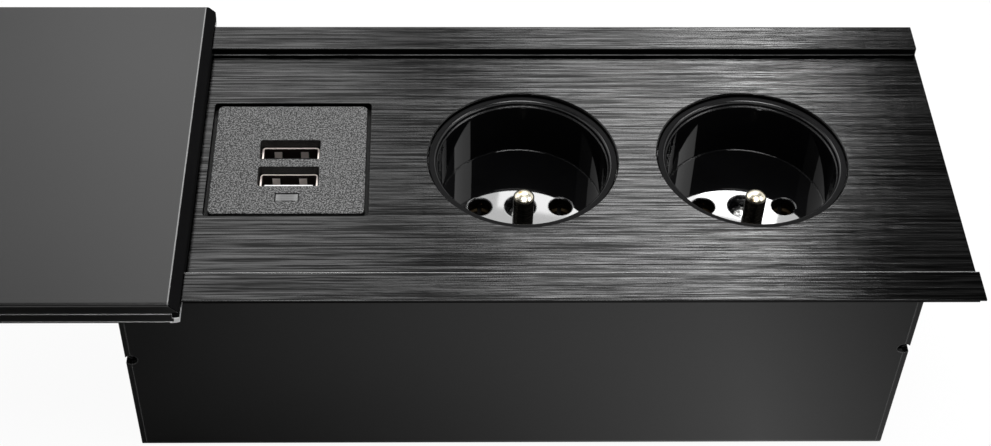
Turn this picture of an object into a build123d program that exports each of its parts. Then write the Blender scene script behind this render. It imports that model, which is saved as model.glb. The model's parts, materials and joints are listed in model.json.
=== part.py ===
from build123d import *
import math
import os

# Desk socket for a worktop: two earthed sockets and a charger with two ports under a sliding lid.
# Units are millimetres. X runs along the plate, Y to the rear, Z up.
# The origin is the middle of the worktop cut-out, in the plane that the plate rests on.

# Row of three modules, and the room that the case and the plate leave round it
module_length = 53.0
module_depth = 51.6
module_thickness = 1.8
module_round = 1.0
socket_gap = 0.2
charger_gap = 0.9
row_shift = 1.45
row_y = 0.6
case_end_room = 8.45
case_side_room = 13.2
plate_end_margin = 11.0
plate_side_margin = 6.0

# Top plate, an extrusion with a raised rail along each long edge
web_thickness = 2.2
rail_rise = 2.0
rail_width = 8.3
lip_thickness = 0.8
lip_overhang = 3.0
lip_break = 0.4
rail_round = 0.3
edge_break = 0.25
hole_radius = 22.0
charger_hole = 37.2
charger_hole_round = 1.0
seat_relief = 0.2
seat_gap = 0.3

# Rails and screw channels that hang under the plate
runner_wall = 1.4
runner_ledge = 1.2
runner_grip = 1.5
channel_gap = 0.2
channel_drop = 3.6
channel_wall = 1.2
channel_slot = 1.6
guide_wall = 1.2
guide_drop = 3.4

# Case of folded sheet under the plate
case_sheet = 1.2
case_bend = 2.4
notch_radius = 1.5
notch_drop_right = 19.3
notch_drop_left = 22.9
fold_length = 10.0
fold_inset = 9.0
floor_screw_inset = 8.0
floor_screw_radius = 1.3
floor_screw_head = 2.5
end_screw_radius = 1.5
end_screw_head = 2.8
end_screw_head_height = 1.8
end_screw_length = 9.0
screw_edge_share = 0.4
screw_slot_share = 0.25
screw_slot_reach = 1.2

# Socket cup, with its floor and its collar in the plate's hole
collar_height = 1.4
collar_gap = 0.3
cup_mouth_radius = 20.0
cup_mouth_round = 0.9
cup_step_drop = 1.3
cup_step_width = 0.3
cup_step_fall = 0.2
cup_floor_radius = 19.5
cup_floor_drop = 14.0
cup_wall = 1.5
cup_floor_thickness = 2.0
contact_offset = 9.6
contact_hole_radius = 2.65
contact_hole_break = 0.25
screw_recess_radius = 3.2
screw_recess_break = 0.6
screw_recess_depth = 3.5
screw_boss_radius = 5.0
screw_seat = 1.5
screw_radius = 1.7
screw_head_radius = 2.9
screw_head_height = 1.7
screw_length = 12.0

# Socket base with its sleeves and earth pin
base_side = 42.0
base_round = 8.0
base_height = 20.0
base_window_length = 14.0
base_window_depth = 5.2
plug_pin_radius = 2.4
plug_pin_clearance = 0.05
sleeve_wall = 0.85
sleeve_length = 18.4
sleeve_slit = 1.0
sleeve_slit_length = 12.0
sleeve_mouth = 0.4
earth_pin_offset = 10.0
earth_pin_height = 14.6
earth_pin_crown = 0.8
earth_pin_break = 0.3
earth_pin_seat = 2.7
earth_pin_collar = 3.6
earth_pin_collar_height = 1.5

# Bus bars and terminal block
bar_thickness = 1.2
bar_width = 2.4
arm_width = 5.0
live_bar_y = 6.6
neutral_bar_y = -4.8
bar_entry = 5.9
earth_bar_drop = 2.6
earth_bar_width = 5.0
leg_offset = 22.2
leg_entry = 6.0
block_left = 8.0
block_right = 12.0
block_margin = 3.2
block_height = 12.65
block_gap = 2.2
block_round = 1.0
lead_hole_radius = 1.6
lead_hole_height = 4.0
terminal_screw_radius = 1.9
terminal_screw_x = 6.0
terminal_slot_depth = 1.0

# Charger
bezel_width = 35.3
bezel_depth = 35.4
bezel_round = 1.2
bezel_rise = 2.1
bezel_edge_round = 0.3
port_opening_width = 14.0
port_opening_depth = 6.3
port_opening_round = 0.6
port_rear_offset = 2.9
port_front_offset = -5.9
shell_inner_width = 12.5
shell_inner_depth = 5.1
shell_wall = 0.4
shell_recess = 2.3
shell_length = 12.5
shell_round = 0.8
finger_offset = 3.1
finger_width = 1.8
finger_length = 3.4
finger_drop = 3.0
finger_rise = 0.45
finger_slot = 0.3
finger_waist_share = 0.45
finger_end_inset = 0.1
tongue_width = 11.1
tongue_thickness = 1.84
tongue_front_gap = 0.3
tongue_drop = 0.1
port_contact_width = 1.0
port_contact_thickness = 0.2
port_contact_drop = 1.0
port_contact_offsets = (-3.5, -1.0, 1.0, 3.5)
lens_width = 5.1
lens_depth = 2.2
lens_offset = -12.6
lens_gap = 0.2
lens_foot = 1.2
lens_lap = 1.0
lens_sink = 0.05
lens_round = 0.2
housing_width = 44.0
housing_depth = 42.0
housing_wall = 1.6
housing_height = 38.2
housing_post = 5.0
housing_round = 2.0
post_overlap = 0.5
board_thickness = 1.6
board_gap = 0.3
board_round = 0.5
spade_thickness = 1.0

# Bushing for the supply cord, in the right end
bushing_rise = 10.85
bushing_bore = 4.0
bushing_neck = 5.9
bushing_flange = 7.5
bushing_flange_height = 2.5
bushing_break = 1.0
bushing_length = 12.0
bushing_ring = 7.0
bushing_ring_width = 2.0

# Sliding lid, an extrusion that hooks under the lips of the plate's rails
lid_engaged = 26.8
lid_side_gap = 2.9
lid_thickness = 2.2
lid_gap = 1.0
lid_edge_round = 0.8
skirt_wall = 1.6
hook_thickness = 1.15
skirt_step = 0.25
skirt_step_drop = 0.5
skirt_bead = 0.6
skirt_break = 0.35
hook_gap = 0.3
hook_reach = 1.6
hook_cut_back = 0.8
end_bevel = 2.0
end_cap = 0.4
end_corner_length = 2.0
end_corner_depth = 0.6
end_plug_height = 1.65
end_plug_depth = 1.5
glide_gap = 0.15
glide_inset = 0.5
glide_width = 6.0
glide_side_gap = 0.3
strip_gap = 0.4
strip_tongue = 9.0
strip_tongue_thickness = 0.6
stop_thickness = 2.0
stop_bottom = 0.5
stop_gap = 0.3
stop_pin_radius = 0.8
stop_pin_inset = 2.5
stop_pin_depth = 5.0

# Small clearances, how far a cutter runs past what it cuts, and how near an edge is to its place
slide_fit = 0.2
press_gap = 0.02
past = 1.0
close = 0.05

# Heights worked out from the sizes above, from the plate down to the case's floor
rail_top = web_thickness + rail_rise
lip_bottom = rail_top - lip_thickness
cup_floor = -cup_floor_drop
cup_under = cup_floor - cup_floor_thickness
base_under = cup_under - base_height
bar_under = base_under - bar_thickness
earth_bar_top = base_under - earth_bar_drop
earth_bar_under = earth_bar_top - bar_thickness
block_top = earth_bar_under - block_gap
case_floor = block_top - block_height
case_height = case_sheet - case_floor
bushing_z = bushing_rise - case_height

# Lengths and depths worked out from the row of modules
socket_pitch = module_length + socket_gap
charger_pitch = module_length + charger_gap
row_length = charger_pitch + socket_pitch + module_length
charger_x = row_shift - row_length / 2 + module_length / 2
left_socket_x = charger_x + charger_pitch
right_socket_x = left_socket_x + socket_pitch
case_length = row_length + 2 * case_end_room
case_depth = module_depth + 2 * case_side_room
plate_length = case_length + 2 * plate_end_margin
plate_depth = case_depth + 2 * plate_side_margin
rail_inner_y = plate_depth / 2 - rail_width
foot_y = plate_depth / 2 - lip_overhang
seat_inner_y = case_depth / 2 + seat_gap
tray_half = case_length / 2 - case_sheet
case_inner_y = case_depth / 2 - case_sheet
channel_radius = end_screw_radius + channel_wall
guide_inner_y = case_inner_y - slide_fit - guide_wall
channel_y = guide_inner_y - channel_gap - channel_radius
fold_depth = case_depth - 2 * fold_inset
floor_screw_y = fold_depth / 2 - floor_screw_inset
runner_y = module_depth / 2 + slide_fit
earth_pin_y = row_y - earth_pin_offset
leg_x = left_socket_x + leg_offset
bar_left_x = charger_x + housing_width / 2 - bar_entry
shell_top = bezel_rise - shell_recess
shell_under = shell_top - shell_length
board_under = shell_under - board_thickness
housing_under = -module_thickness - housing_height
lid_under = rail_top + lid_gap
lid_top = lid_under + lid_thickness
skirt_inner_y = plate_depth / 2 + lid_side_gap
lid_half = skirt_inner_y + skirt_wall
hook_top = lip_bottom - hook_gap
skirt_bottom = hook_top - hook_thickness
hook_tip_y = plate_depth / 2 - hook_reach
lid_length = plate_length + stop_thickness + stop_gap
lid_open_x = -plate_length / 2 + lid_engaged
lid_left_x = lid_open_x - lid_length
stop_pin_x = -plate_length / 2 + stop_pin_inset
stop_pin_z = lip_bottom - slide_fit - stop_pin_radius


def block(x0, x1, y0, y1, z0, z1):
    return Pos((x0 + x1) / 2, (y0 + y1) / 2, (z0 + z1) / 2) * Box(x1 - x0, y1 - y0, z1 - z0)


def rod(radius, x, y, z0, z1):
    return Pos(x, y, (z0 + z1) / 2) * Cylinder(radius, z1 - z0)


def rod_along(axis_rotation, radius, length, x, y, z):
    return Pos(x, y, z) * axis_rotation * Cylinder(radius, length)


along_x = Rot(0, 90, 0)
along_y = Rot(90, 0, 0)


def run_along_x(points, x0, x1):
    # an outline in Y and Z, run from x0 to x1
    outline = make_face(Plane.YZ.offset(x0) * Polyline(*points, close=True))
    return extrude(outline, amount=x1 - x0, dir=(1, 0, 0))


def run_along_y(points, y0, y1):
    # an outline in X and Z, run from y0 to y1
    outline = make_face(Plane.XZ.offset(-y0) * Polyline(*points, close=True))
    return extrude(outline, amount=y1 - y0, dir=(0, 1, 0))


def rounded_block(width, depth, radius, x, y, z0, z1):
    outline = Pos(x, y, z0) * RectangleRounded(width, depth, radius)
    return extrude(outline, amount=z1 - z0, dir=(0, 0, 1))


def both_sides(piece):
    return piece + mirror(piece, about=Plane.XZ)


def turned(points, x, y):
    # an outline of radius and height, turned about an upright axis
    return Pos(x, y, 0) * revolve(make_face(Plane.XZ * Polyline(*points, close=True)), Axis.Z)


def make_top_plate():
    half = plate_depth / 2
    rail = [
        (0, seat_relief),
        (seat_inner_y, seat_relief),
        (seat_inner_y, 0),
        (foot_y, 0),
        (foot_y, lip_bottom),
        (half - lip_break, lip_bottom),
        (half, lip_bottom + lip_break),
        (half, rail_top),
        (rail_inner_y, rail_top),
        (rail_inner_y, web_thickness),
        (0, web_thickness),
    ]
    plate = both_sides(run_along_x(rail, -plate_length / 2, plate_length / 2))
    # round the inner foot and the outer arris of each rail
    step_feet = plate.edges().filter_by(Axis.X).filter_by(
        lambda e: abs(abs(e.center().Y) - rail_inner_y) < close and e.center().Z < rail_top - close
    )
    plate = fillet(step_feet, rail_round)
    arrises = plate.edges().filter_by(Axis.X).filter_by(lambda e: e.center().Z > rail_top - close)
    plate = fillet(arrises, rail_round)
    # guides for the case walls and channels for the end screws
    for side in (-1, 1):
        outer = side * (case_inner_y - slide_fit)
        inner = side * guide_inner_y
        plate += block(
            -tray_half, tray_half, min(outer, inner), max(outer, inner), -guide_drop, seat_relief
        )
        centre = side * channel_y
        tube = rod_along(along_x, channel_radius, 2 * tray_half, 0, centre, -channel_drop)
        neck = block(
            -tray_half, tray_half, centre - channel_wall, centre + channel_wall, -channel_drop, seat_relief
        )
        bore = rod_along(along_x, end_screw_radius, 2 * tray_half, 0, centre, -channel_drop)
        mouth = block(
            -tray_half, tray_half, centre - channel_slot / 2, centre + channel_slot / 2,
            -channel_drop - channel_radius - past, -channel_drop,
        )
        plate += (tube + neck) - bore - mouth
        # runner that carries the edges of the modules
        wall = [
            (0, seat_relief),
            (runner_wall, seat_relief),
            (runner_wall, -module_thickness - slide_fit - runner_ledge),
            (-runner_grip, -module_thickness - slide_fit - runner_ledge),
            (-runner_grip, -module_thickness - slide_fit),
            (0, -module_thickness - slide_fit),
        ]
        placed = [(row_y + side * (runner_y + across), height) for across, height in wall]
        plate += run_along_x(placed, -tray_half, tray_half)
    # holes for the two cups and the charger, with a light break on their top edges
    for x in (left_socket_x, right_socket_x):
        plate -= rod(hole_radius, x, row_y, -past, web_thickness + past)
        plate -= turned(
            [
                (0, web_thickness - edge_break),
                (hole_radius, web_thickness - edge_break),
                (hole_radius + edge_break, web_thickness),
                (hole_radius + edge_break, web_thickness + past),
                (0, web_thickness + past),
            ],
            x, row_y,
        )
    plate -= rounded_block(
        charger_hole, charger_hole, charger_hole_round, charger_x, row_y, -past, web_thickness + past
    )
    # holes for the pins that stop the lid at its open end
    for side in (-1, 1):
        plate -= rod_along(
            along_y, stop_pin_radius + press_gap, stop_pin_depth,
            stop_pin_x, side * (foot_y - stop_pin_depth / 2), stop_pin_z,
        )
    return plate


def case_outline():
    # cross-section of the folded tray from outside, open at the top
    half = case_depth / 2
    outline = Pos(0, 0) * make_face(
        Polyline((-half, 0), (half, 0), (half, -case_height), (-half, -case_height), close=True)
    )
    low = [v for v in outline.vertices() if v.Y < -case_height / 2]
    return fillet(low, case_bend)


def make_case_tray():
    outside = case_outline()
    inside = offset(outside, amount=-case_sheet) + Pos(0, -case_sheet) * Rectangle(
        case_depth - 2 * case_sheet, 2 * case_sheet
    )
    profile = outside - inside
    tray = extrude(Plane.YZ.offset(-tray_half) * profile, amount=2 * tray_half, dir=(1, 0, 0))
    for side, drop in ((1, notch_drop_right), (-1, notch_drop_left)):
        tray -= rod_along(
            along_y, notch_radius, 3 * case_sheet, side * tray_half, -case_depth / 2, -drop
        )
    for x, y in floor_screw_places():
        tray -= rod(floor_screw_radius + slide_fit, x, y, -case_height - past, case_floor + past)
        tray -= countersink(x, y)
    return tray


def floor_screw_places():
    inset = tray_half - fold_length / 2
    return [(x, y) for x in (-inset, inset) for y in (-floor_screw_y, floor_screw_y)]


def countersink(x, y):
    sink = floor_screw_head - floor_screw_radius
    low = -case_height
    return turned(
        [
            (0, low - past),
            (floor_screw_head + press_gap, low - past),
            (floor_screw_head + press_gap, low),
            (floor_screw_radius + press_gap, low + sink),
            (0, low + sink),
        ],
        x, y,
    )


def make_case_end(side, notch_drop):
    # flat end with a fold along its foot that lies on the tray's floor
    near = min(side * tray_half, side * case_length / 2)
    end = extrude(Plane.YZ.offset(near) * case_outline(), amount=case_sheet, dir=(1, 0, 0))
    fold_near = min(side * tray_half, side * (tray_half - fold_length))
    end += block(
        fold_near, fold_near + fold_length, -fold_depth / 2, fold_depth / 2,
        case_floor, case_floor + case_sheet,
    )
    end -= rod_along(
        along_y, notch_radius, 3 * case_sheet, side * tray_half, -case_depth / 2, -notch_drop
    )
    for y in (-channel_y, channel_y):
        end -= rod_along(
            along_x, end_screw_radius + slide_fit, 4 * case_sheet, side * tray_half, y, -channel_drop
        )
    for x, y in floor_screw_places():
        end -= rod(floor_screw_radius + press_gap, x, y, case_floor - past, case_floor + 2 * case_sheet)
    if side > 0:
        end -= rod_along(along_x, bushing_neck + press_gap, 4 * case_sheet, tray_half, 0, bushing_z)
    return end


def crown_arc(radius, rise, top):
    # part of a ball's outline, from the edge of a round end up to its middle
    ball = (radius**2 + rise**2) / (2 * rise)
    half_turn = math.asin(radius / ball) / 2
    middle = (ball * math.sin(half_turn), top - ball + ball * math.cos(half_turn))
    return ThreePointArc((radius, top - rise), middle, (0, top))


def pan_screw(head_radius, head_height, shank_radius, shank_length):
    # seat at height 0 with the shank below it, and a cross recess in the crown of the head
    edge = head_height * screw_edge_share
    stem = Polyline(
        (0, head_height), (0, -shank_length), (shank_radius, -shank_length), (shank_radius, 0),
        (head_radius, 0), (head_radius, edge),
    )
    crown = crown_arc(head_radius, head_height - edge, head_height)
    screw = revolve(make_face(Plane.XZ * (stem + crown)), Axis.Z)
    slot = Box(head_radius * screw_slot_reach, head_radius * screw_slot_share, head_height)
    for turn in (0, 90):
        screw -= Pos(0, 0, head_height) * Rot(0, 0, turn) * slot
    return screw


def make_end_screws():
    screw = pan_screw(
        end_screw_head, end_screw_head_height, end_screw_radius - press_gap, end_screw_length
    )
    screws = []
    for side in (-1, 1):
        for y in (-channel_y, channel_y):
            screws.append(Pos(side * case_length / 2, y, -channel_drop) * Rot(0, side * 90, 0) * screw)
    return Compound(screws)


def make_floor_screws():
    sink = floor_screw_head - floor_screw_radius
    low = -case_height
    outline = [
        (0, low),
        (floor_screw_head, low),
        (floor_screw_radius, low + sink),
        (floor_screw_radius, case_floor + 2 * case_sheet),
        (0, case_floor + 2 * case_sheet),
    ]
    return Compound([turned(outline, x, y) for x, y in floor_screw_places()])


def make_socket_cup(x):
    collar_radius = hole_radius - collar_gap
    outer_low = cup_floor_radius + cup_wall
    step_top = collar_height - cup_step_drop
    cup = turned(
        [
            (0, cup_under),
            (outer_low, cup_under),
            (collar_radius, -module_thickness),
            (collar_radius, collar_height),
            (cup_mouth_radius, collar_height),
            (cup_mouth_radius, step_top),
            (cup_mouth_radius - cup_step_width, step_top - cup_step_fall),
            (cup_floor_radius, cup_floor),
            (0, cup_floor),
        ],
        x, row_y,
    )
    mouth = cup.edges().filter_by(GeomType.CIRCLE).filter_by(
        lambda e: abs(e.radius - cup_mouth_radius) < close and e.center().Z > collar_height - close
    )
    cup = fillet(mouth, cup_mouth_round)
    # square flange that slides in the plate's runners
    flange = rounded_block(module_length, module_depth, module_round, x, row_y, -module_thickness, 0)
    cup += flange - rod(collar_radius - cup_wall / 2, x, row_y, -module_thickness - past, past)
    # boss, seat and hole of the centre screw
    recess_floor = cup_floor - screw_recess_depth
    cup += rod(screw_boss_radius, x, row_y, recess_floor - screw_seat, cup_floor - cup_floor_thickness / 2)
    cup -= rod(screw_recess_radius, x, row_y, recess_floor, cup_floor + past)
    cup -= rod(screw_radius + slide_fit, x, row_y, recess_floor - screw_seat - past, cup_floor)
    # holes for the plug's pins and the earth pin
    for side in (-1, 1):
        across = x + side * contact_offset
        cup -= rod(contact_hole_radius, across, row_y, cup_under - past, cup_floor + past)
    for radius, rim_break in (
        (contact_hole_radius, contact_hole_break), (screw_recess_radius, screw_recess_break)
    ):
        rims = cup.edges().filter_by(GeomType.CIRCLE).filter_by(
            lambda e: abs(e.radius - radius) < close and abs(e.center().Z - cup_floor) < close
        )
        cup = chamfer(rims, rim_break)
    cup -= rod(earth_pin_seat + press_gap, x, earth_pin_y, cup_under - past, cup_floor + past)
    return cup


def make_socket_base(x):
    base = rounded_block(base_side, base_side, base_round, x, row_y, base_under, cup_under)
    boss_under = cup_floor - screw_recess_depth - screw_seat
    base -= rod(screw_boss_radius + slide_fit, x, row_y, boss_under, cup_under + past)
    base -= rod(screw_radius + press_gap, x, row_y, base_under - past, boss_under + past)
    sleeve_radius = plug_pin_radius + plug_pin_clearance + sleeve_wall
    for side in (-1, 1):
        base -= rod(
            sleeve_radius + slide_fit, x + side * contact_offset, row_y,
            base_under - past, cup_under + past,
        )
        # side windows that lighten the block, as in a moulding
        across = x + side * base_side / 2
        base -= block(
            across - base_window_depth, across + base_window_depth,
            row_y - base_window_length / 2, row_y + base_window_length / 2,
            base_under - past, cup_under - cup_floor_thickness,
        )
    base -= rod(earth_pin_seat + press_gap, x, earth_pin_y, base_under - past, cup_under + past)
    base -= rod(
        earth_pin_collar + press_gap, x, earth_pin_y, cup_under - earth_pin_collar_height, cup_under + past
    )
    return base


def make_earth_pin(x):
    top = cup_floor + earth_pin_height
    stem = [
        (0, earth_bar_top),
        (earth_pin_seat, earth_bar_top),
        (earth_pin_seat, cup_under - earth_pin_collar_height),
        (earth_pin_collar, cup_under - earth_pin_collar_height),
        (earth_pin_collar, cup_under),
        (earth_pin_seat, cup_under),
        (earth_pin_seat, cup_floor),
        (plug_pin_radius, cup_floor),
        (plug_pin_radius, top - earth_pin_crown - earth_pin_break),
        (plug_pin_radius - earth_pin_break, top - earth_pin_crown),
    ]
    closing = Line((0, top), (0, earth_bar_top))
    crown = crown_arc(plug_pin_radius - earth_pin_break, earth_pin_crown, top)
    face = make_face(Plane.XZ * (Polyline(*stem) + crown + closing))
    return Pos(x, earth_pin_y, 0) * revolve(face, Axis.Z)


def make_sleeve(x):
    inner = plug_pin_radius + plug_pin_clearance
    outer = inner + sleeve_wall
    top = base_under + sleeve_length
    sleeve = turned(
        [
            (inner, base_under),
            (outer, base_under),
            (outer, top),
            (inner + sleeve_mouth, top),
            (inner, top - sleeve_mouth),
        ],
        x, row_y,
    )
    sleeve -= block(
        x - sleeve_slit / 2, x + sleeve_slit / 2, row_y, row_y + outer + past,
        top - sleeve_slit_length, top + past,
    )
    return sleeve


def make_centre_screw(x):
    screw = pan_screw(screw_head_radius, screw_head_height, screw_radius, screw_length)
    return Pos(x, row_y, cup_floor - screw_recess_depth) * screw


def make_bar(y, contact_side, toward):
    # strip that runs past both sockets, with an arm under one contact of each
    right_end = right_socket_x + contact_side * contact_offset + arm_width / 2
    bar = block(bar_left_x, right_end, y - bar_width / 2, y + bar_width / 2, bar_under, base_under)
    for x in (left_socket_x, right_socket_x):
        middle = x + contact_side * contact_offset
        near = min(y, row_y - toward * bar_width)
        far = max(y, row_y - toward * bar_width)
        bar += block(middle - arm_width / 2, middle + arm_width / 2, near, far, bar_under, base_under)
    bar += make_leg(y, bar_under)
    return bar


def make_leg(y, top):
    return block(
        leg_x - bar_thickness / 2, leg_x + bar_thickness / 2, y - bar_width / 2, y + bar_width / 2,
        block_top - leg_entry, top + bar_thickness,
    )


def earth_leg_y():
    return earth_pin_y - earth_bar_width / 2 + bar_width / 2


def make_earth_bar():
    left = left_socket_x - arm_width / 2
    right = right_socket_x + arm_width / 2
    bar = block(
        left, right, earth_pin_y - earth_bar_width / 2, earth_pin_y + earth_bar_width / 2,
        earth_bar_under, earth_bar_top,
    )
    return bar + make_leg(earth_leg_y(), earth_bar_under)


def pole_places():
    return (live_bar_y, neutral_bar_y, earth_leg_y())


def make_terminal_block():
    front = earth_leg_y() - block_margin
    rear = live_bar_y + block_margin
    body = block(leg_x - block_left, leg_x + block_right, front, rear, case_floor, block_top)
    body = fillet(body.edges().filter_by(Axis.Z), block_round)
    for y in pole_places():
        body -= block(
            leg_x - bar_thickness / 2 - slide_fit, leg_x + bar_thickness / 2 + slide_fit,
            y - bar_width / 2 - slide_fit, y + bar_width / 2 + slide_fit,
            block_top - leg_entry - slide_fit, block_top + past,
        )
        body -= rod(
            terminal_screw_radius + press_gap, leg_x + terminal_screw_x, y,
            block_top - leg_entry, block_top + past,
        )
        body -= rod_along(
            along_x, lead_hole_radius, 2 * terminal_screw_x,
            leg_x + block_right, y, case_floor + lead_hole_height,
        )
    return body


def make_terminal_screws():
    screws = []
    for y in pole_places():
        x = leg_x + terminal_screw_x
        screw = rod(terminal_screw_radius, x, y, block_top - leg_entry, block_top - slide_fit)
        screw -= block(
            x - terminal_screw_radius, x + terminal_screw_radius, y - slide_fit, y + slide_fit,
            block_top - terminal_slot_depth, block_top,
        )
        screws.append(screw)
    return Compound(screws)


def port_centres():
    return {"rear": row_y + port_rear_offset, "front": row_y + port_front_offset}


def make_bezel():
    bezel = rounded_block(
        bezel_width, bezel_depth, bezel_round, charger_x, row_y, -module_thickness, bezel_rise
    )
    bezel = fillet(bezel.edges().group_by(Axis.Z)[-1], bezel_edge_round)
    bezel += rounded_block(
        module_length, module_depth, module_round, charger_x, row_y, -module_thickness, 0
    )
    for y in port_centres().values():
        bezel -= rounded_block(
            port_opening_width, port_opening_depth, port_opening_round, charger_x, y,
            -module_thickness - past, bezel_rise + past,
        )
    lens_y = row_y + lens_offset
    bezel -= block(
        charger_x - lens_width / 2 - lens_gap, charger_x + lens_width / 2 + lens_gap,
        lens_y - lens_depth / 2 - lens_gap, lens_y + lens_depth / 2 + lens_gap,
        -module_thickness - past, bezel_rise + past,
    )
    return bezel


def make_port_shell(y):
    outer_width = shell_inner_width + 2 * shell_wall
    outer_depth = shell_inner_depth + 2 * shell_wall
    shell = rounded_block(outer_width, outer_depth, shell_round, charger_x, y, shell_under, shell_top)
    shell -= rounded_block(
        shell_inner_width, shell_inner_depth, shell_round - shell_wall, charger_x, y,
        shell_under + shell_wall, shell_top + past,
    )
    # two spring fingers in the rear wall, bowed into the slot inside their windows
    inner = y + shell_inner_depth / 2
    outer = inner + shell_wall
    bow = inner - finger_rise
    high = shell_top - finger_drop + finger_length / 2
    low = high - finger_length
    waist = low + finger_length * finger_waist_share
    finger = [
        (inner, high + finger_slot),
        (outer, high + finger_slot),
        (bow + shell_wall, waist),
        (outer - finger_end_inset, low),
        (inner - finger_end_inset, low),
        (bow, waist),
    ]
    for x in (charger_x - finger_offset, charger_x + finger_offset):
        shell -= block(
            x - finger_width / 2 - finger_slot, x + finger_width / 2 + finger_slot,
            inner - shell_wall, outer + shell_wall, low - finger_slot, high,
        )
        shell += run_along_x(finger, x - finger_width / 2, x + finger_width / 2)
    return shell


def tongue_span(y):
    front = y - shell_inner_depth / 2 + tongue_front_gap
    return front, front + tongue_thickness


def make_port_tongue(y):
    front, rear = tongue_span(y)
    return block(
        charger_x - tongue_width / 2, charger_x + tongue_width / 2, front, rear,
        shell_under + shell_wall, shell_top - tongue_drop,
    )


def make_port_contacts(y):
    rear = tongue_span(y)[1]
    strips = []
    for across in port_contact_offsets:
        x = charger_x + across
        strips.append(
            block(
                x - port_contact_width / 2, x + port_contact_width / 2, rear, rear + port_contact_thickness,
                shell_under + shell_wall, shell_top - port_contact_drop,
            )
        )
    return Compound(strips)


def make_lens():
    y = row_y + lens_offset
    lens = block(
        charger_x - lens_width / 2, charger_x + lens_width / 2, y - lens_depth / 2, y + lens_depth / 2,
        shell_under, bezel_rise - lens_sink,
    )
    lens = fillet(lens.edges().group_by(Axis.Z)[-1], lens_round)
    foot = block(
        charger_x - lens_width / 2 - lens_lap, charger_x + lens_width / 2 + lens_lap,
        y - lens_depth / 2 - lens_lap, y + lens_depth / 2 + lens_lap,
        -module_thickness - lens_foot, -module_thickness,
    )
    return lens + foot


def make_housing():
    top = -module_thickness
    x1 = charger_x + housing_width / 2
    box = rounded_block(housing_width, housing_depth, housing_round, charger_x, row_y, housing_under, top)
    box -= rounded_block(
        housing_width - 2 * housing_wall, housing_depth - 2 * housing_wall, housing_round - housing_wall,
        charger_x, row_y, housing_under + housing_wall, top + past,
    )
    # corner posts that carry the board
    inset = housing_wall + housing_post / 2 - post_overlap
    across = housing_width / 2 - inset
    along = housing_depth / 2 - inset
    for x in (charger_x - across, charger_x + across):
        for y in (row_y - along, row_y + along):
            box += block(
                x - housing_post / 2, x + housing_post / 2, y - housing_post / 2, y + housing_post / 2,
                housing_under + housing_wall - post_overlap, board_under,
            )
    # slots for the two bars
    for y in (live_bar_y, neutral_bar_y):
        box -= block(
            x1 - 2 * housing_wall, x1 + past, y - bar_width / 2 - slide_fit, y + bar_width / 2 + slide_fit,
            bar_under - slide_fit, base_under + slide_fit,
        )
    return box


def make_board():
    width = housing_width - 2 * housing_wall - 2 * board_gap
    depth = housing_depth - 2 * housing_wall - 2 * board_gap
    return rounded_block(width, depth, board_round, charger_x, row_y, board_under, shell_under)


def make_spades():
    x = bar_left_x + 2 * spade_thickness
    strips = []
    for y in (live_bar_y, neutral_bar_y):
        strips.append(
            block(
                x - spade_thickness / 2, x + spade_thickness / 2, y - bar_width / 2, y + bar_width / 2,
                base_under, board_under,
            )
        )
    return Compound(strips)


def make_bushing():
    face = case_length / 2
    outline = [
        (bushing_bore, face + bushing_flange_height),
        (bushing_flange - bushing_break, face + bushing_flange_height),
        (bushing_flange, face + bushing_flange_height - bushing_break),
        (bushing_flange, face),
        (bushing_neck, face),
        (bushing_neck, tray_half),
        (bushing_ring, tray_half),
        (bushing_ring, tray_half - bushing_ring_width),
        (bushing_neck, tray_half - bushing_ring_width),
        (bushing_neck, face + bushing_flange_height - bushing_length),
        (bushing_bore, face + bushing_flange_height - bushing_length),
    ]
    ring = revolve(make_face(Plane.XZ * Polyline(*outline, close=True)), Axis.Z)
    return Pos(0, 0, bushing_z) * along_x * ring


def make_stop_pins():
    pins = []
    reach = plate_depth / 2 - hook_reach + hook_cut_back - glide_side_gap
    inner = foot_y - stop_pin_depth + slide_fit
    for side in (-1, 1):
        pins.append(
            rod_along(
                along_y, stop_pin_radius, reach - inner, stop_pin_x, side * (reach + inner) / 2, stop_pin_z
            )
        )
    return Compound(pins)


def lid_profile():
    # rear half of the lid's cross-section, with two fine ledges along the outside of its skirt
    bead_top = skirt_bottom + skirt_bead
    ledge = lid_under - skirt_step_drop
    return [
        (0, lid_under),
        (skirt_inner_y, lid_under),
        (skirt_inner_y, hook_top),
        (hook_tip_y, hook_top),
        (hook_tip_y, skirt_bottom),
        (lid_half - skirt_break, skirt_bottom),
        (lid_half, skirt_bottom + skirt_break),
        (lid_half, bead_top),
        (lid_half - skirt_step, bead_top),
        (lid_half - skirt_step, ledge),
        (lid_half - 2 * skirt_step, ledge),
        (lid_half - 2 * skirt_step, lid_top),
        (0, lid_top),
    ]


def glide_span():
    rear = skirt_inner_y - slide_fit / 2
    return rear - glide_width, rear


def lid_blank():
    # the lid's extrusion before its ends are worked
    lid = both_sides(run_along_x(lid_profile(), lid_left_x, lid_open_x))
    arrises = lid.edges().filter_by(Axis.X).filter_by(
        lambda e: abs(e.center().Y) > lid_half - 2 * skirt_step - close and e.center().Z > lid_top - close
    )
    return fillet(arrises, lid_edge_round)


def end_corners(end, inward):
    # what is cut off the front and rear corners of one end, seen from above
    slope = end_corner_depth / end_corner_length
    wedge = [
        (end + inward * end_corner_length, lid_half),
        (end - inward * past, lid_half - end_corner_depth - past * slope),
        (end - inward * past, lid_half + past),
        (end + inward * end_corner_length, lid_half + past),
    ]
    outline = make_face(Plane.XY.offset(skirt_bottom - past) * Polyline(*wedge, close=True))
    return both_sides(extrude(outline, amount=lid_top - skirt_bottom + 2 * past, dir=(0, 0, 1)))


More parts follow.
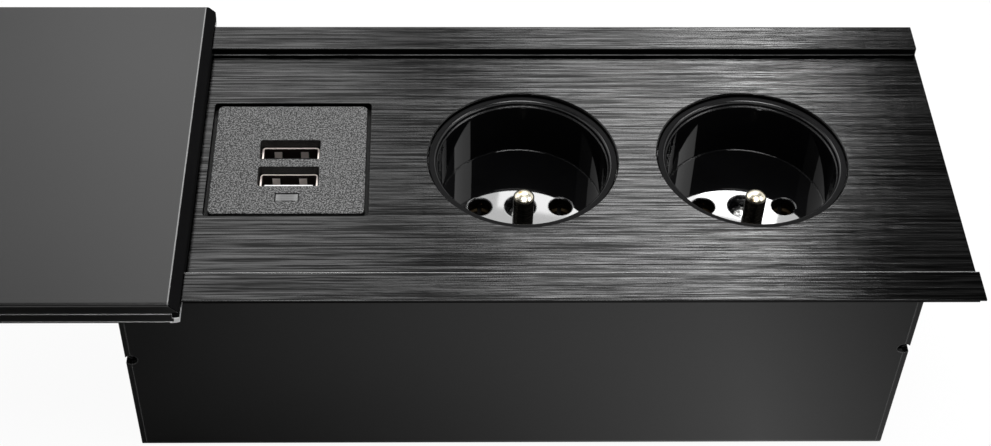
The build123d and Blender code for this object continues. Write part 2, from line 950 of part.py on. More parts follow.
def make_lid_cover():
    lid = lid_blank()
    for end, inward in ((lid_open_x, -1), (lid_left_x, 1)):
        # bevel across the end, under the cap of the end strip
        back = end + inward * end_bevel
        bevel = [
            (end - inward * past, lid_top + past),
            (back, lid_top + past),
            (back, lid_top - end_cap),
            (end, lid_top - end_cap - end_bevel),
            (end - inward * past, lid_top - end_cap - end_bevel),
        ]
        lid -= run_along_y(bevel, -lid_half - past, lid_half + past)
        # seat of the end strip between the skirts, and the pockets of its plugs
        near, far = min(end - inward * past, back), max(end - inward * past, back)
        lid -= block(near, far, -skirt_inner_y, skirt_inner_y, lid_under - past, lid_top + past)
        plug_back = end + inward * end_plug_depth
        near, far = min(end - inward * past, plug_back), max(end - inward * past, plug_back)
        lid -= both_sides(
            block(near, far, skirt_inner_y - past, lid_half + past, lid_under - end_plug_height, lid_under)
        )
        lid -= end_corners(end, inward)
    # seats of the glides
    inner, outer = glide_span()
    lid -= both_sides(
        block(
            lid_left_x - past, lid_open_x + past, inner - press_gap, outer,
            lid_under - press_gap, lid_under + glide_inset,
        )
    )
    # the hooks are cut back except near the open end, where their tips meet the stop pins
    land_start = stop_pin_x + stop_pin_radius + stop_gap
    lid -= both_sides(
        block(
            lid_left_x - past, land_start, hook_tip_y - past, hook_tip_y + hook_cut_back,
            skirt_bottom - past, hook_top + press_gap,
        )
    )
    return lid


def make_glide(side):
    # angle strip that slides on the rail's top and along its edge
    inner, outer = glide_span()
    edge = plate_depth / 2 + glide_side_gap
    profile = [
        (inner, lid_under + glide_inset),
        (outer, lid_under + glide_inset),
        (outer, hook_top + slide_fit),
        (edge, hook_top + slide_fit),
        (edge, rail_top + glide_gap),
        (inner, rail_top + glide_gap),
    ]
    placed = [(side * across, height) for across, height in profile]
    return run_along_x(placed, lid_left_x + strip_tongue + end_bevel, lid_open_x - strip_tongue - end_bevel)


def make_end_strip(end, inward, low):
    # black end piece with a bevel that caps the whole end, and a tongue under the lid's sheet
    step_y = rail_inner_y - strip_gap
    over_rail = rail_top + strip_gap
    back = end + inward * end_bevel
    nose = [
        (end, low),
        (end, lid_top - end_bevel),
        (back, lid_top),
        (back, low),
    ]
    strip = run_along_y(nose, -step_y, step_y)
    high_nose = [
        (end, over_rail),
        (end, lid_top - end_bevel),
        (back, lid_top),
        (back, over_rail),
    ]
    strip += run_along_y(high_nose, -skirt_inner_y, skirt_inner_y)
    cap = [
        (end, lid_top - end_bevel - end_cap),
        (end, lid_top - end_bevel),
        (back, lid_top),
        (back, lid_top - end_cap),
    ]
    strip += lid_blank() & run_along_y(cap, -lid_half, lid_half)
    near, far = min(back, back + inward * strip_tongue), max(back, back + inward * strip_tongue)
    strip += block(near, far, -skirt_inner_y, skirt_inner_y, lid_under - strip_tongue_thickness, lid_under)
    plug_near = min(end, end + inward * end_plug_depth)
    plug_far = max(end, end + inward * end_plug_depth)
    strip += both_sides(
        block(
            plug_near, plug_far, skirt_inner_y - past, lid_half - 2 * skirt_step,
            lid_under - end_plug_height, lid_under,
        )
    )
    return strip - end_corners(end, inward)


# the left end strip reaches lower, and meets the end of the plate when the lid is shut
pieces = {
    "top_plate": make_top_plate(),
    "case_tray": make_case_tray(),
    "case_end_left": make_case_end(-1, notch_drop_left),
    "case_end_right": make_case_end(1, notch_drop_right),
    "case_end_screws": make_end_screws(),
    "case_floor_screws": make_floor_screws(),
    "live_bar": make_bar(live_bar_y, 1, 1),
    "neutral_bar": make_bar(neutral_bar_y, -1, -1),
    "earth_bar": make_earth_bar(),
    "terminal_block": make_terminal_block(),
    "terminal_screws": make_terminal_screws(),
    "charger_bezel": make_bezel(),
    "charger_housing": make_housing(),
    "charger_board": make_board(),
    "charger_spades": make_spades(),
    "pilot_lens": make_lens(),
    "cord_bushing": make_bushing(),
    "lid_stop_pins": make_stop_pins(),
    "lid_cover": make_lid_cover(),
    "lid_glide_front": make_glide(-1),
    "lid_glide_rear": make_glide(1),
    "lid_end_strip": make_end_strip(lid_open_x, -1, web_thickness + strip_gap),
    "lid_stop_strip": make_end_strip(lid_left_x, 1, stop_bottom),
}
for name, x in (("left", left_socket_x), ("right", right_socket_x)):
    pieces["socket_cup_" + name] = make_socket_cup(x)
    pieces["socket_base_" + name] = make_socket_base(x)
    pieces["earth_pin_" + name] = make_earth_pin(x)
    pieces["socket_screw_" + name] = make_centre_screw(x)
    pieces["live_contact_" + name] = make_sleeve(x + contact_offset)
    pieces["neutral_contact_" + name] = make_sleeve(x - contact_offset)
for name, y in port_centres().items():
    pieces["port_shell_" + name] = make_port_shell(y)
    pieces["port_tongue_" + name] = make_port_tongue(y)
    pieces["port_contacts_" + name] = make_port_contacts(y)

os.makedirs("parts", exist_ok=True)
for name, piece in pieces.items():
    export_step(piece, "parts/" + name + ".step")
print(len(pieces), "pieces written")
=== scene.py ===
import json
import math
import bpy
from mathutils import Matrix, Vector


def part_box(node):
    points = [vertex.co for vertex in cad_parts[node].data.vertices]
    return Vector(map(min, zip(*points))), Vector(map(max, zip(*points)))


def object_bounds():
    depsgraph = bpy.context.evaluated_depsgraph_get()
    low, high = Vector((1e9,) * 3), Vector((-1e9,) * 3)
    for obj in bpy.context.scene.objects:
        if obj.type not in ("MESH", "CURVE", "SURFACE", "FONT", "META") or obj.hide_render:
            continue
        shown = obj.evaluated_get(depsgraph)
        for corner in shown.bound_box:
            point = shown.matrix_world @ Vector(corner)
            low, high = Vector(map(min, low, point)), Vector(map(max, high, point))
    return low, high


# Desk socket: finishes, camera and studio. Metres, Z up, same frame as the CAD.

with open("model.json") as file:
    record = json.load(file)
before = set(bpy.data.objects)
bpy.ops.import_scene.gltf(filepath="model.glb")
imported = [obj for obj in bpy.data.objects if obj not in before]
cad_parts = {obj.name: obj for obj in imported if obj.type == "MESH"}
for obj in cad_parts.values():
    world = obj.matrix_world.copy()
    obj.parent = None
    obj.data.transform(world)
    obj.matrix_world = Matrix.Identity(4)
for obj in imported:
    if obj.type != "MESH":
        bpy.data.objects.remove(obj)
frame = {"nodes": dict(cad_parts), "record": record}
cadLow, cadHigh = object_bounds()
nodes = frame["nodes"]
print("frame loaded,", len(nodes), "nodes")


class Wire:
    # one output of a shader node, which can be used in sums
    def __init__(self, builder, socket):
        self.builder = builder
        self.socket = socket

    def maths(self, operation, first, second):
        return self.builder.add("ShaderNodeMath", {"operation": operation}, {0: first, 1: second})

    def __add__(self, other):
        return self.maths("ADD", self, other)

    def __radd__(self, other):
        return self.maths("ADD", other, self)

    def __sub__(self, other):
        return self.maths("SUBTRACT", self, other)

    def __rsub__(self, other):
        return self.maths("SUBTRACT", other, self)

    def __mul__(self, other):
        return self.maths("MULTIPLY", self, other)

    def __rmul__(self, other):
        return self.maths("MULTIPLY", other, self)

    def __gt__(self, other):
        return self.maths("GREATER_THAN", self, other)

    def __lt__(self, other):
        return self.maths("LESS_THAN", self, other)

    def __abs__(self):
        return self.maths("ABSOLUTE", self, 0.0)


class NodeBuilder:
    # a shader tree whose nodes are added one by one
    def __init__(self, tree):
        self.tree = tree
        self.tree.nodes.clear()

    def add(self, kind, settings={}, sockets={}, out=0):
        node = self.tree.nodes.new(kind)
        for name, value in settings.items():
            setattr(node, name, value)
        for name, value in sockets.items():
            if isinstance(value, Wire):
                self.tree.links.new(value.socket, node.inputs[name])
            else:
                node.inputs[name].default_value = value
        return Wire(self, node.outputs[out] if len(node.outputs) else None)

    def ray(self, name):
        return self.add("ShaderNodeLightPath", out="Is " + name + " Ray")


bevelSamples = 6
noiseRange = (0.3, 0.7)


class Finish(NodeBuilder):
    # a material, with the patterns that the finishes share
    def __init__(self, name):
        self.material = bpy.data.materials.new(name)
        self.material.use_nodes = True
        super().__init__(self.material.node_tree)
        self.place = self.add("ShaderNodeTexCoord", out="Object")

    def noise(self, grain, detail=2.0, roughness=0.5):
        # grain is how many lumps there are in a metre along X, Y and Z
        scaled = self.add("ShaderNodeVectorMath", {"operation": "MULTIPLY"}, {0: self.place, 1: grain})
        return self.add(
            "ShaderNodeTexNoise", {},
            {"Vector": scaled, "Scale": 1.0, "Detail": detail, "Roughness": roughness},
        )

    def spread(self, value, low, high, toLow=0.0, toHigh=1.0):
        # low to high becomes toLow to toHigh, and stops there
        return self.add(
            "ShaderNodeMapRange", {"clamp": True},
            {"Value": value, "From Min": low, "From Max": high, "To Min": toLow, "To Max": toHigh},
        )

    def blend(self, share, first, second):
        return self.add(
            "ShaderNodeMix", {"data_type": "RGBA", "clamp_factor": True},
            {0: share, 6: first, 7: second}, out=2,
        )

    def along(self, axis):
        return self.add("ShaderNodeSeparateXYZ", {}, {0: self.place}, out=axis)

    def facing(self, axis):
        # how much a surface faces along an axis of the object, 0 to 1
        normal = self.add("ShaderNodeTexCoord", out="Normal")
        return abs(self.add("ShaderNodeSeparateXYZ", {}, {0: normal}, out=axis))

    def softEdge(self, radius):
        return self.add("ShaderNodeBevel", {"samples": bevelSamples}, {"Radius": radius})

    def edgeHighlight(self, soft, start, full):
        # 0 on flats, 1 on the arris that the soft edge rounds
        flat = self.add("ShaderNodeNewGeometry", out="Normal")
        alike = self.add(
            "ShaderNodeVectorMath", {"operation": "DOT_PRODUCT"}, {0: soft, 1: flat}, out="Value"
        )
        return self.spread(1 - alike, start, full)

    def bump(self, height, distance, under=None, strength=1.0):
        sockets = {"Height": height, "Distance": distance, "Strength": strength}
        if under is not None:
            sockets["Normal"] = under
        return self.add("ShaderNodeBump", {}, sockets)

    def surface(self, sockets):
        shader = self.add("ShaderNodeBsdfPrincipled", {}, sockets)
        self.add("ShaderNodeOutputMaterial", {}, {"Surface": shader})
        return self.material


def grey(value):
    return (value, value, value, 1.0)


def tint(red, green, blue):
    return (red, green, blue, 1.0)


# Finishes

brushedPlateLook = {
    "dark": 0.004,
    "light": 0.031,
    "cut": 0.006,
    "arris": 0.03,
    "stepHighlight": 0.5,
    "arrisTilt": (0.25, 0.99),
    "stepBand": (-0.0376, -0.0358),
    "roughness": (0.09, 0.15),
    "cutRoughness": 0.42,
    "fineStreaks": (65.0, 4300.0, 4300.0),
    "broadStreaks": (28.0, 1900.0, 1900.0),
    "broadShare": 1.2,
    "streakRange": (0.43, 0.59),
    "flatUp": 0.6,
    "streakDepth": 0.00004,
    "edge": 0.00016,
}


def brushedPlate():
    # brushed along X and dyed black, dark where it is cut, with a painted highlight along the step of
    # the front rail
    look = brushedPlateLook
    finish = Finish("brushed_black_aluminium")
    fine = finish.noise(look["fineStreaks"], roughness=0.55)
    broad = finish.noise(look["broadStreaks"], roughness=0.55)
    streak = fine + broad * look["broadShare"]
    total = 1 + look["broadShare"]
    shade = finish.spread(streak, *(limit * total for limit in look["streakRange"]))
    soft = finish.softEdge(look["edge"])
    up = finish.facing(2)
    flat = up > look["flatUp"]
    arris = (up > look["arrisTilt"][0]) * (up < look["arrisTilt"][1])
    depth = finish.along(1)
    step = (depth > look["stepBand"][0]) * (depth < look["stepBand"][1])
    # arris colour, painted light along the front rail's step as a highlight
    metalEdge = finish.blend(step, grey(look["arris"]), grey(look["stepHighlight"]))
    dyed = finish.blend(shade, grey(look["dark"]), grey(look["light"]))
    body = finish.blend(flat, grey(look["cut"]), dyed)
    gloss = finish.spread(streak, *(limit * total for limit in noiseRange), *look["roughness"])
    polish = flat * (1 - arris * step)
    return finish.surface({
        "Base Color": finish.blend(arris, body, metalEdge),
        "Metallic": 1.0,
        "Roughness": look["cutRoughness"] + (gloss - look["cutRoughness"]) * polish,
        "Normal": finish.bump(streak, look["streakDepth"], soft),
    })


satinLidLook = {
    "dark": 0.025,
    "light": 0.029,
    "side": 0.06,
    "metalEdge": 0.92,
    "arris": 0.10,
    "ledge": 0.22,
    "topThickness": 0.0022,
    "topUp": 0.6,
    "bareFacing": 0.2,
    "endBevel": 0.002,
    "endLine": 0.0003,
    "roughness": 0.30,
    "bareRoughness": 0.55,
    "grain": (2600.0, 2600.0, 2600.0),
    "cloud": (9.0, 14.0, 14.0),
    "grainDepth": 0.000004,
    "edge": 0.00022,
}


def satinLid():
    # dyed black, greyer on its up-facing ledges and along the ends of its top as painted highlights,
    # sides painted lighter as a painted reflection, bare metal at its cut ends
    look = satinLidLook
    finish = Finish("satin_black_aluminium")
    cloud = finish.noise(look["cloud"])
    grain = finish.noise(look["grain"])
    soft = finish.softEdge(look["edge"])
    metalEdge = finish.facing(0) > look["bareFacing"]
    top = finish.facing(2) > look["topUp"]
    low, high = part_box("lid_cover")
    reach = (high.x - low.x) / 2 - look["endBevel"] - look["endLine"]
    # the last stretch of the top at each end is painted lighter, a painted highlight on the end arris
    endHighlight = (abs(finish.along(0) - (low.x + high.x) / 2) > reach) * top
    # ledges that face up are painted light, a painted highlight
    ledge = top * (finish.along(2) < high.z - look["topThickness"])
    dyed = finish.blend(cloud, grey(look["dark"]), grey(look["light"]))
    # the sides are painted lighter than the top, a painted reflection
    body = finish.blend(top, grey(look["side"]), dyed)
    highlitEnds = finish.blend(endHighlight, body, grey(look["arris"]))
    edged = finish.blend(ledge, highlitEnds, grey(look["ledge"]))
    return finish.surface({
        "Base Color": finish.blend(metalEdge, edged, grey(look["metalEdge"])),
        "Metallic": 1.0,
        "Roughness": finish.spread(metalEdge, 0.0, 1.0, look["roughness"], look["bareRoughness"]),
        "Normal": finish.bump(grain, look["grainDepth"], soft),
    })


caseLook = {
    "dark": 0.0035,
    "light": 0.005,
    "arris": 0.10,
    "highlightRange": (0.06, 0.24),
    "roughness": (0.30, 0.38),
    "specular": 0.5,
    "peel": (700.0, 700.0, 700.0),
    "cloud": (20.0, 20.0, 20.0),
    "peelDepth": 0.000012,
    "edge": 0.0004,
}


def caseCoat():
    # painted steel, with a faint orange peel and painted highlights on its arrises
    look = caseLook
    finish = Finish("satin_black_steel")
    peel = finish.noise(look["peel"])
    cloud = finish.noise(look["cloud"])
    soft = finish.softEdge(look["edge"])
    paint = finish.blend(cloud, grey(look["dark"]), grey(look["light"]))
    return finish.surface({
        # arrises, inner and outer, are painted lighter as a highlight
        "Base Color": finish.blend(finish.edgeHighlight(soft, *look["highlightRange"]), paint, grey(look["arris"])),
        "Roughness": finish.spread(cloud, *noiseRange, *look["roughness"]),
        "Specular IOR Level": look["specular"],
        "Normal": finish.bump(peel, look["peelDepth"], soft),
    })


mouldingLook = {
    "cloud": (60.0, 60.0, 60.0),
    "glossVaries": (0.92, 1.08),
}
mouldings = {
    "matt_black_plastic": {
        "shade": (0.0022, 0.0022, 0.0024), "roughness": 0.8, "grain": 1500.0, "depth": 0.00002,
        "specular": 0.04,
    },
    "base_moulding": {
        "shade": (0.05, 0.05, 0.052), "roughness": 0.5, "grain": 1200.0, "depth": 0.00002,
    },
    "white_plastic": {
        "shade": (0.78, 0.78, 0.78), "roughness": 0.4, "grain": 900.0, "depth": 0.00001,
        "edge": 0.00015, "mottle": 0.04,
    },
    "bushing_rubber": {
        "shade": (0.018, 0.018, 0.018), "roughness": 0.65, "grain": 1800.0, "depth": 0.00003,
    },
}


def moulding(name, shade, roughness, grain, depth, edge=0.0002, mottle=0.2, specular=0.5):
    # a plastic moulding with a fine grain and a faint mottle
    finish = Finish(name)
    speck = finish.noise((grain, grain, grain), roughness=0.6)
    cloud = finish.noise(mouldingLook["cloud"], detail=1.0)
    low = tuple(part * (1 - mottle) for part in shade)
    high = tuple(part * (1 + mottle) for part in shade)
    gloss = tuple(roughness * part for part in mouldingLook["glossVaries"])
    return finish.surface({
        "Base Color": finish.blend(finish.spread(speck, *noiseRange), tint(*low), tint(*high)),
        "Roughness": finish.spread(cloud, *noiseRange, *gloss),
        "Specular IOR Level": specular,
        "Normal": finish.bump(speck, depth, finish.softEdge(edge)),
    })


bezelLook = {
    "dark": 0.006,
    "light": 0.16,
    "wall": 0.003,
    "roughness": 0.55,
    "specular": 0.3,
    "grain": (2800.0, 2800.0, 2800.0),
    "depth": 0.00020,
    "strength": 0.8,
    "speckRange": (0.48, 0.55),
    "edge": 0.0002,
    "faceUp": 0.5,
    "wallTop": 0.0015,
}


def grainedBezel():
    # leather grain on the face, and black painted shade on the walls below it
    look = bezelLook
    finish = Finish("grained_grey_plastic")
    grain = finish.noise(look["grain"], roughness=0.7)
    speck = finish.spread(grain, *look["speckRange"])
    face = (finish.facing(2) > look["faceUp"]) * (finish.along(2) > look["wallTop"])
    grained = finish.blend(speck, grey(look["dark"]), grey(look["light"]))
    return finish.surface({
        # the walls below the face are painted black as the shade in the gap around the bezel
        "Base Color": finish.blend(face, grey(look["wall"]), grained),
        "Roughness": look["roughness"],
        "Specular IOR Level": look["specular"],
        "Normal": finish.bump(grain, look["depth"], finish.softEdge(look["edge"]), look["strength"]),
    })


metalLook = {
    "cloud": (260.0, 260.0, 260.0),
    "tarnishRange": (0.45, 0.75),
    "glossVaries": (0.8, 1.25),
    "edge": 0.0001,
}
metals = {
    "bare_brass": {
        "shade": (0.05, 0.036, 0.02), "tarnish": (0.03, 0.02, 0.012), "roughness": 0.55,
        "grain": (400.0, 400.0, 3000.0), "depth": 0.000004,
    },
    "copper_strip": {
        "shade": (0.80, 0.45, 0.28), "tarnish": (0.45, 0.2, 0.1), "roughness": 0.3,
        "grain": (300.0, 3000.0, 3000.0), "depth": 0.000004,
    },
    "bright_steel": {
        "shade": (0.70, 0.70, 0.70), "tarnish": (0.4, 0.4, 0.38), "roughness": 0.25,
        "grain": (1500.0, 1500.0, 1500.0), "depth": 0.000004,
    },
    "black_screw": {
        "shade": (0.03, 0.03, 0.03), "tarnish": (0.05, 0.048, 0.045), "roughness": 0.35,
        "grain": (1500.0, 1500.0, 1500.0), "depth": 0.000006,
    },
}


def metal(name, shade, tarnish, roughness, grain, depth):
    # shade where it is clean, tarnish in patches
    finish = Finish(name)
    marks = finish.noise(grain, detail=3.0, roughness=0.6)
    cloud = finish.noise(metalLook["cloud"], detail=3.0, roughness=0.65)
    share = finish.spread(cloud, *metalLook["tarnishRange"])
    gloss = tuple(roughness * part for part in metalLook["glossVaries"])
    return finish.surface({
        "Base Color": finish.blend(share, tint(*shade), tint(*tarnish)),
        "Metallic": 1.0,
        "Roughness": finish.spread(marks, *noiseRange, *gloss),
        "Normal": finish.bump(marks, depth, finish.softEdge(metalLook["edge"])),
    })


pinLook = {
    "crown": (0.88, 0.82, 0.66),
    "gilt": (0.55, 0.36, 0.14),
    "side": (0.10, 0.092, 0.075),
    "crownUp": 0.75,
    "roughness": (0.192, 0.312),
    "marks": (300.0, 300.0, 5000.0),
    "markDepth": 0.000002,
    "patches": (420.0, 420.0, 420.0),
    "patchRange": (0.56, 0.72),
    "edge": 0.0001,
}


def earthPin():
    # a bright crown with gilt patches, and a shank painted dark as shade
    look = pinLook
    finish = Finish("nickel_brass")
    marks = finish.noise(look["marks"])
    patches = finish.spread(finish.noise(look["patches"]), *look["patchRange"])
    crown = finish.facing(2) > look["crownUp"]
    bright = finish.blend(patches, tint(*look["crown"]), tint(*look["gilt"]))
    return finish.surface({
        # the shank is painted dark as shade, the crown keeps the metal's own colour
        "Base Color": finish.blend(crown, tint(*look["side"]), bright),
        "Metallic": 1.0,
        "Roughness": finish.spread(marks, *noiseRange, *look["roughness"]),
        "Normal": finish.bump(marks, look["markDepth"], finish.softEdge(look["edge"])),
    })


shellLook = {
    "bright": (0.92, 0.84, 0.79),
    "paintedShade": (0.04, 0.03, 0.027),
    "bowedUp": 0.06,
    "roughness": (0.56, 0.66),
    "marks": (2000.0, 2000.0, 300.0),
    "markDepth": 0.000004,
    "edge": 0.0001,
}


def portShell():
    # plated steel, bright on its rim and on the bowed spring fingers as a painted highlight, its
    # upright faces painted dark as shade
    look = shellLook
    finish = Finish("shell_steel")
    marks = finish.noise(look["marks"])
    upTiltHighlight = finish.facing(2) > look["bowedUp"]
    return finish.surface({
        # faces that tilt up are painted bright as a highlight, upright faces dark as shade
        "Base Color": finish.blend(upTiltHighlight, tint(*look["paintedShade"]), tint(*look["bright"])),
        "Metallic": 1.0,
        "Roughness": finish.spread(marks, *noiseRange, *look["roughness"]),
        "Normal": finish.bump(marks, look["markDepth"], finish.softEdge(look["edge"])),
    })


cupLook = {
    "dark": (0.002, 0.002, 0.0022),
    "light": (0.0032, 0.0032, 0.00352),
    "roughness": (0.027, 0.033),
    "swirl": (160.0, 160.0, 160.0),
    "swirlDepth": 0.0000015,
    "edge": 0.0005,
    "lipTilt": (0.2, 0.9),
    "lipRoughness": 0.18,
    "collarUp": 0.9,
    "collarRoughness": 0.6,
    "collarSpecular": 0.06,
}


def glossCup():
    # polished, with a very faint swirl, a scuffed lip and a matt collar
    look = cupLook
    finish = Finish("gloss_black_plastic")
    swirl = finish.noise(look["swirl"])
    gloss = finish.spread(swirl, *noiseRange, *look["roughness"])
    up = finish.facing(2)
    lip = (up > look["lipTilt"][0]) * (up < look["lipTilt"][1])
    shade = finish.blend(swirl, tint(*look["dark"]), tint(*look["light"]))
    polished = finish.add("ShaderNodeBsdfPrincipled", {}, {
        "Base Color": shade,
        "Roughness": gloss + lip * look["lipRoughness"],
        "Normal": finish.bump(swirl, look["swirlDepth"], finish.softEdge(look["edge"])),
    })
    matt = finish.add("ShaderNodeBsdfPrincipled", {}, {
        "Base Color": shade,
        "Roughness": look["collarRoughness"],
        "Specular IOR Level": look["collarSpecular"],
    })
    collar = (up > look["collarUp"]) * (finish.along(2) > 0)
    mixed = finish.add("ShaderNodeMixShader", {}, {0: collar, 1: polished, 2: matt})
    finish.add("ShaderNodeOutputMaterial", {}, {"Surface": mixed})
    return finish.material


lensLook = {
    "middle": 0.11,
    "end": 0.185,
    "endStart": 0.0012,
    "endFull": 0.0024,
    "ribs": 1600.0,
    "ribDepth": 0.00003,
    "roughness": 0.36,
    "edge": 0.0002,
}


def frostedLens():
    # a light window with fine ribs, brighter at its two ends
    look = lensLook
    finish = Finish("lens_plastic")
    low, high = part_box("pilot_lens")
    away = abs(finish.along(0) - (low.x + high.x) / 2)
    end = finish.spread(away, look["endStart"], look["endFull"])
    turns = finish.along(1) * (look["ribs"] * 2 * math.pi)
    rib = finish.add("ShaderNodeMath", {"operation": "SINE"}, {0: turns})
    return finish.surface({
        "Base Color": finish.blend(end, grey(look["middle"]), grey(look["end"])),
        "Roughness": look["roughness"],
        "Normal": finish.bump(rib, look["ribDepth"], finish.softEdge(look["edge"])),
    })


boardLook = {
    "fields": ((0.02, 0.12, 0.05), (0.03, 0.16, 0.07)),
    "track": (0.05, 0.22, 0.1),
    "scale": 180.0,
    "trackWidth": 0.03,
    "roughness": 0.35,
    "grain": (900.0, 900.0, 900.0),
    "grainDepth": 0.00001,
}


def circuitBoard():
    # green lacquer, lighter along its tracks
    look = boardLook
    finish = Finish("green_board")
    first, second = look["fields"]
    lacquer = finish.add("ShaderNodeTexBrick", {"offset": 0.5}, {
        "Vector": finish.place,
        "Scale": look["scale"],
        "Mortar Size": look["trackWidth"],
        "Color1": tint(*first),
        "Color2": tint(*second),
        "Mortar": tint(*look["track"]),
    })
    return finish.surface({
        "Base Color": lacquer,
        "Roughness": look["roughness"],
        "Normal": finish.bump(finish.noise(look["grain"]), look["grainDepth"]),
    })


finishes = {
    "brushed_black_aluminium": brushedPlate(),
    "satin_black_aluminium": satinLid(),
    "satin_black_steel": caseCoat(),
    "gloss_black_plastic": glossCup(),
    "grained_grey_plastic": grainedBezel(),
    "nickel_brass": earthPin(),
    "shell_steel": portShell(),
    "lens_plastic": frostedLens(),
    "green_board": circuitBoard(),
}
for name, look in mouldings.items():
    finishes[name] = moulding(name, **look)
for name, look in metals.items():
    finishes[name] = metal(name, **look)
slotOf = {part["node"]: part["material_slot"] for part in frame["record"]["subparts"]}
for name, node in nodes.items():
    node.data.materials.clear()
    node.data.materials.append(finishes[slotOf[name]])
print("finishes set:", len(finishes))


# Camera, solved from the edges of the photograph

photograph = {"width": 991, "height": 446}
cameraView = {
    "focalPixels": 1774.453,
    "middle": (452.902, 259.092),
    "place": (-0.019837, -0.293738, 0.288883),
    "tiltDown": 47.507,
    "turnRight": 1.125,
    "roll": 0.755,
    "sensor": 36.0,
    "clip": (0.01, 50.0),
}


def makeCamera():
    view = cameraView
    camera = bpy.data.cameras.new("photo_camera")
    camera.sensor_width = view["sensor"]
    camera.lens = view["focalPixels"] / photograph["width"] * camera.sensor_width
    camera.shift_x = (photograph["width"] / 2 - view["middle"][0]) / photograph["width"]
    camera.shift_y = (view["middle"][1] - photograph["height"] / 2) / photograph["width"]
    camera.clip_start, camera.clip_end = view["clip"]
    holder = bpy.data.objects.new("photo_camera", camera)
    bpy.context.scene.collection.objects.link(holder)
    turn = Matrix.Rotation(-math.radians(view["turnRight"]), 4, "Z")
    tilt = Matrix.Rotation(math.radians(90 - view["tiltDown"]), 4, "X")
    roll = Matrix.Rotation(math.radians(view["roll"]), 4, "Z")
    holder.matrix_world = Matrix.Translation(view["place"]) @ turn @ tilt @ roll
    bpy.context.scene.camera = holder


makeCamera()
print("camera set")


# Studio: softboxes, dark cards, a pale floor and a white surround

softboxes = {
    "key_wide": {"at": (0.1485, 0.69, 0.75), "size": (0.273, 0.13), "glow": 7.0},
    "key_low": {"at": (0.12, 0.69, 0.59), "size": (0.16, 0.17), "glow": 6.5},
    "key_hot": {"at": (0.23, 0.69, 0.59), "size": (0.06, 0.17), "glow": 21.0},
    "key_high": {"at": (0.165, 0.69, 0.88), "size": (0.20, 0.11), "glow": 10.0},
    "fill_left": {"at": (-0.66, 0.72, 0.76), "size": (0.70, 0.5), "glow": 2.05},
    "fill_near": {"at": (-0.168, 0.72, 0.73), "size": (0.274, 0.5), "glow": 3.6},
    "side_right": {"at": (0.70, 0.012, 0.70), "size": (0.40, 0.21), "glow": 6.5},
    "side_left": {"at": (-1.1, -0.1, 0.3), "size": (0.5, 0.3), "glow": 0.3},
    "overhead": {"at": (0.05, -0.22, 1.0), "size": (0.5, 0.5), "glow": 7.0},
    "low_right": {"at": (0.42, -0.28, 0.12), "size": (0.16, 0.16), "glow": 3.0},
}
cards = {
    "card_rear": {"at": (0.0, 1.2, 1.5), "size": (5.0, 2.4), "glow": 0.3},
    "card_front": {"at": (0.0, -1.2, 1.5), "size": (5.0, 2.4), "glow": 0.02},
}
surround = {
    "glow": 1.0,
    "fill": 0.45,
    "floorHalf": 4.0,
    "floorShade": 0.9,
    "cameraShare": 0.95,
    "mirrorShare": 0.95,
    "mirrorRise": (-0.10, 0.06),
    "mirrorFall": (0.06, 0.11),
    "mirrorEnd": 0.2,
    "mirrorFar": (0.045, 0.085),
    "mirrorShadowToLight": (0.02, 0.85),
}
aimPoint = Vector((0.0, 0.0, 0.0))
lampPower = 4.0  # watts in a square metre of softbox, for each unit of its glow


def makeSoftbox(name, box):
    lamp = bpy.data.lights.new(name, "AREA")
    lamp.shape = "RECTANGLE"
    lamp.size, lamp.size_y = box["size"]
    lamp.energy = lampPower * lamp.size * lamp.size_y * box["glow"]
    holder = bpy.data.objects.new(name, lamp)
    bpy.context.scene.collection.objects.link(holder)
    away = Vector(box["at"]) - aimPoint
    holder.location = box["at"]
    holder.rotation_mode = "QUATERNION"
    holder.rotation_quaternion = away.to_track_quat("Z", "Y")
    holder.visible_camera = False


def makeSheet(name, middle, size):
    # one flat rectangle that lies level
    across, along = size[0] / 2, size[1] / 2
    corners = [(-across, -along, 0), (across, -along, 0), (across, along, 0), (-across, along, 0)]
    mesh = bpy.data.meshes.new(name)
    mesh.from_pydata([Vector(middle) + Vector(corner) for corner in corners], [], [(0, 1, 2, 3)])
    sheet = bpy.data.objects.new(name, mesh)
    bpy.context.scene.collection.objects.link(sheet)
    return sheet


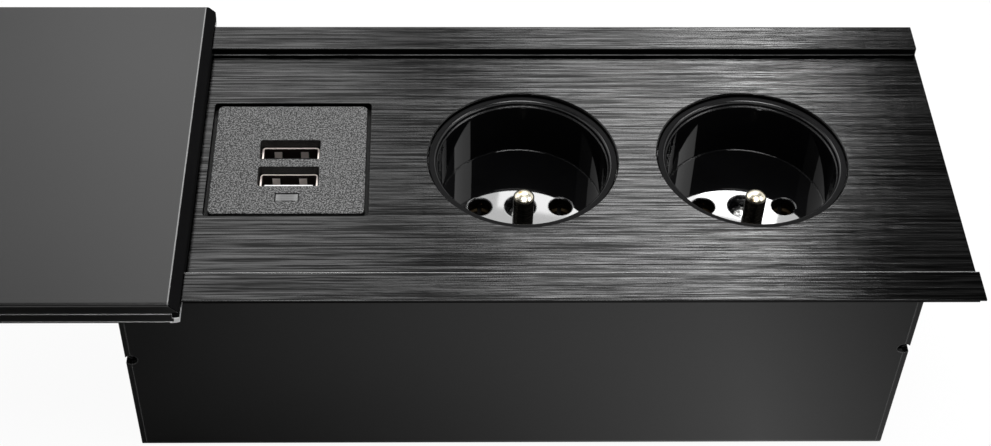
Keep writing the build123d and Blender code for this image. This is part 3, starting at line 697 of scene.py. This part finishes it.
def makeCard(name, card):
    # a dark cloth overhead, which the glossy surfaces mirror
    sheet = makeSheet(name, card["at"], card["size"])
    sheet.visible_camera = False
    finish = Finish(name)
    cloth = finish.add("ShaderNodeEmission", {}, {"Color": grey(1.0), "Strength": card["glow"]})
    finish.add("ShaderNodeOutputMaterial", {}, {"Surface": cloth})
    sheet.data.materials.append(finish.material)


def makeFloor():
    whole = 2 * surround["floorHalf"]
    floor = makeSheet("floor", (0, 0, cadLow.z), (whole, whole))
    finish = Finish("floor_white")
    mirrored = finish.ray("Glossy") + finish.ray("Transmission")
    share = finish.ray("Camera") * surround["cameraShare"] + mirrored * surround["mirrorShare"]
    # glossy rays see the floor with a painted shadow on the left and close in front of the object, a
    # painted pool of light just right of the middle, and dimmer again further right
    rise = finish.spread(finish.along(0), *surround["mirrorRise"])
    fall = finish.spread(finish.along(0), *surround["mirrorFall"], 1.0, surround["mirrorEnd"])
    far = finish.spread(abs(finish.along(1)), *surround["mirrorFar"])
    bend = rise + (1 - rise) * far
    seen = finish.blend(rise * bend * fall, *(grey(level) for level in surround["mirrorShadowToLight"]))
    paper = finish.add("ShaderNodeBsdfDiffuse", {}, {"Color": grey(surround["floorShade"])})
    colour = finish.blend(mirrored, grey(1.0), seen)
    white = finish.add("ShaderNodeEmission", {}, {"Color": colour, "Strength": 1.0})
    mixed = finish.add("ShaderNodeMixShader", {}, {0: share, 1: paper, 2: white})
    finish.add("ShaderNodeOutputMaterial", {}, {"Surface": mixed})
    floor.data.materials.append(finish.material)


def makeSurround():
    world = bpy.data.worlds.new("surround")
    bpy.context.scene.world = world
    world.use_nodes = True
    sky = NodeBuilder(world.node_tree)
    seen = sky.ray("Camera") + sky.ray("Glossy") + sky.ray("Transmission")
    strength = seen * (surround["glow"] - surround["fill"]) + surround["fill"]
    light = sky.add("ShaderNodeBackground", {}, {"Color": grey(1.0), "Strength": strength})
    sky.add("ShaderNodeOutputWorld", {}, {"Surface": light})


for name, box in softboxes.items():
    makeSoftbox(name, box)
for name, card in cards.items():
    makeCard(name, card)
makeFloor()
makeSurround()
bpy.context.scene.view_settings.view_transform = "Standard"
print("studio set")
